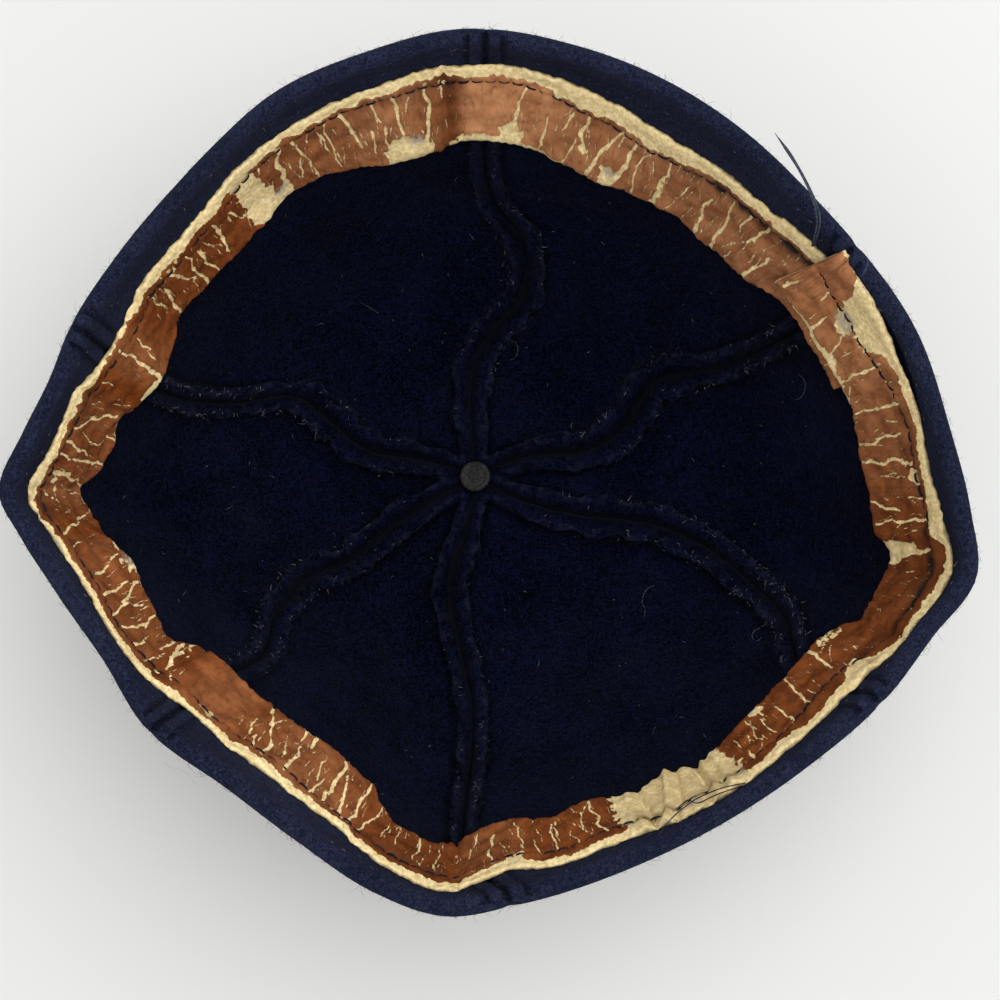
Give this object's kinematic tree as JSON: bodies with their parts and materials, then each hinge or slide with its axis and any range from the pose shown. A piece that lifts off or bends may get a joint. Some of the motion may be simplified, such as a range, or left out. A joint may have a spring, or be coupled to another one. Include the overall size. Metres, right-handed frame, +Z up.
{
  "type": "felt beanie",
  "caption": "Round sewn felt skull cap with a cracked leather sweatband, lying on its crown with the opening up.",
  "frame": {"origin": "middle of the crown button's flat face, which rests on the surface under the upturned cap", "axes": "+Z up out of the opening, +X along the longer diameter of the rim, +Y away from the picture's camera"},
  "size_m": [0.2098, 0.1909, 0.079],
  "materials": {
    "felt": "matt fulled wool, dark navy",
    "sweatband_leather": "worn, cracked, cream core showing",
    "button_felt": "matt fulled wool, dark navy",
    "rivet_metal": "dull, tarnished"
  },
  "bodies": {
    "root": {"panel_1": "felt", "panel_2": "felt", "panel_3": "felt", "panel_4": "felt", "panel_5": "felt", "panel_6": "felt", "sweatband": "sweatband_leather", "crown_button": "button_felt", "button_rivet": "rivet_metal"}
  },
  "joints": []
}
